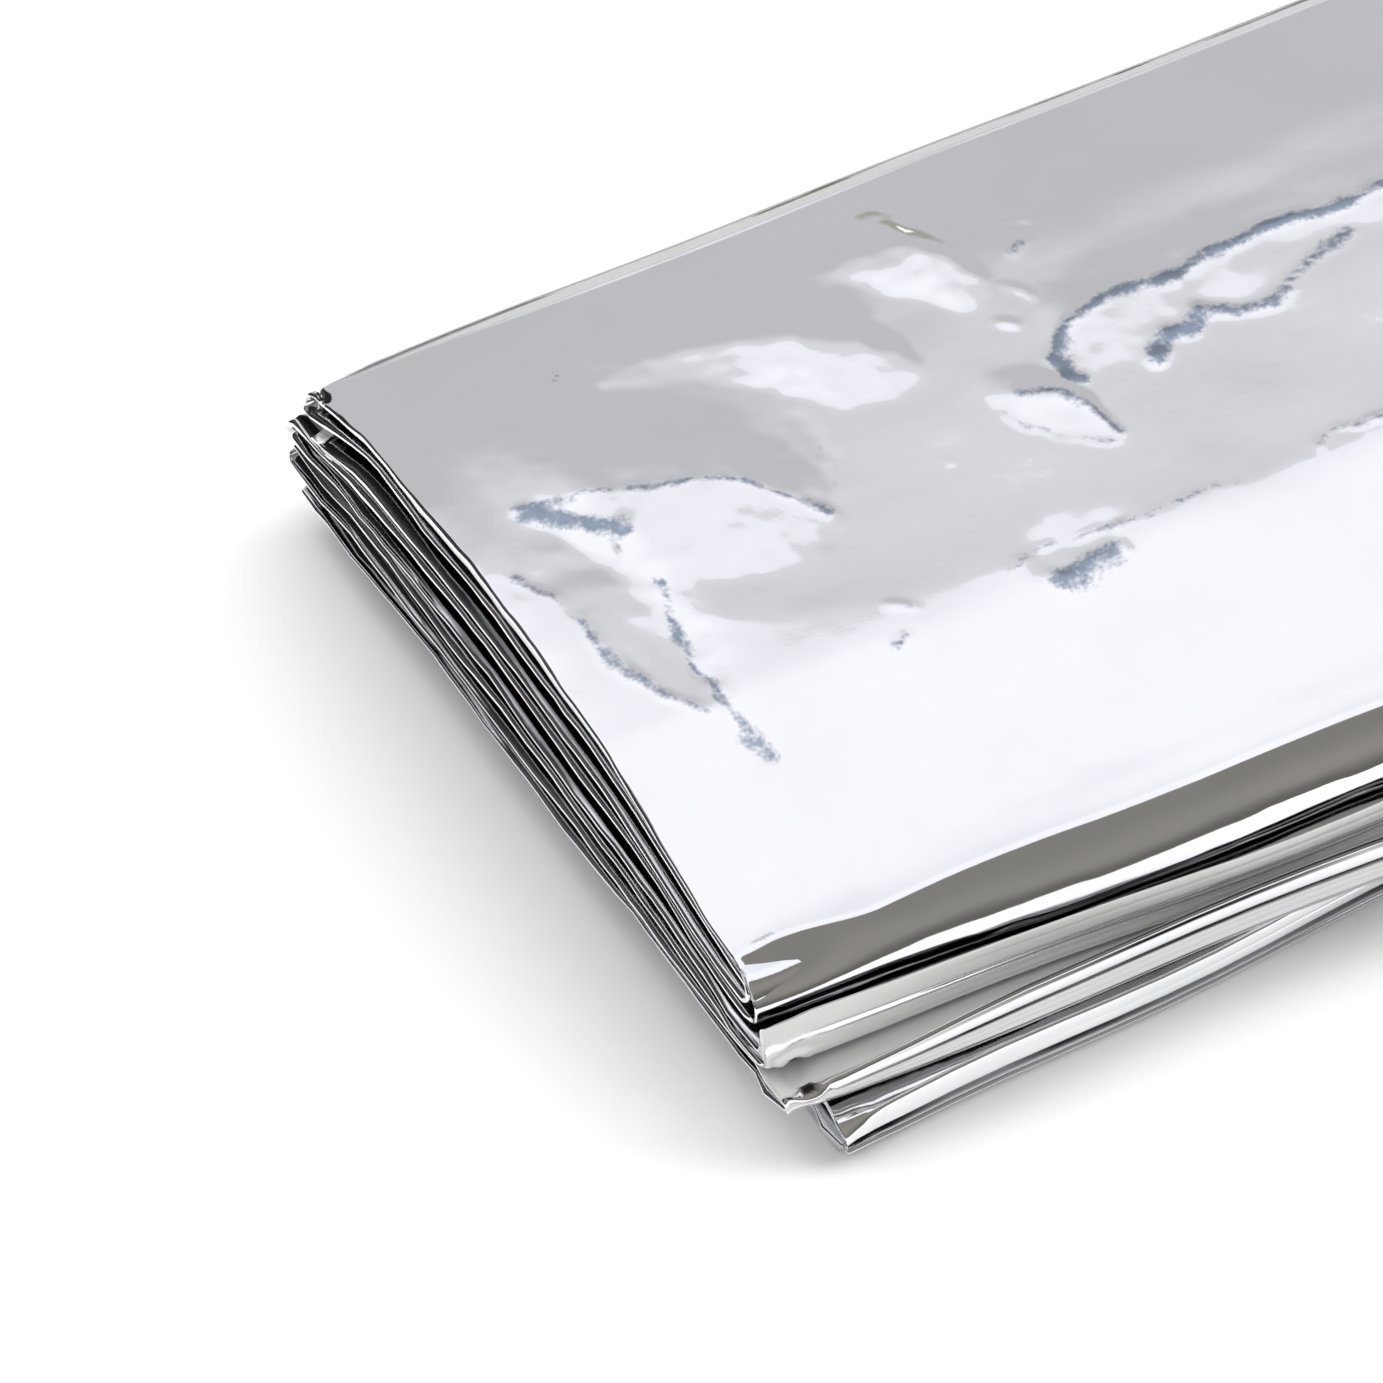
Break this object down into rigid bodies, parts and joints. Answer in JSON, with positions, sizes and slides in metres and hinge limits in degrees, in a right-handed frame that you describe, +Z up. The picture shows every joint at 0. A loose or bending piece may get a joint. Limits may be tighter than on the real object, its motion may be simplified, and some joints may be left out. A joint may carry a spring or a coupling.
{
  "type": "emergency foil blanket",
  "caption": "Emergency foil blanket of silver metallised film, folded back and forth into a flat springy packet that unfolds to wrap a person.",
  "frame": {"origin": "middle of the bottom of the packet's box", "axes": "+X along the packet's long side, +Y from the front side with the rolled top fold to the back, +Z up"},
  "size_m": [0.1318, 0.0862, 0.0205],
  "materials": {
    "silver_film": "bright silver vacuum-metallised plastic film, mirror-like, finely creased"
  },
  "bodies": {
    "root": {"foil_sheet": "silver_film"}
  },
  "joints": []
}
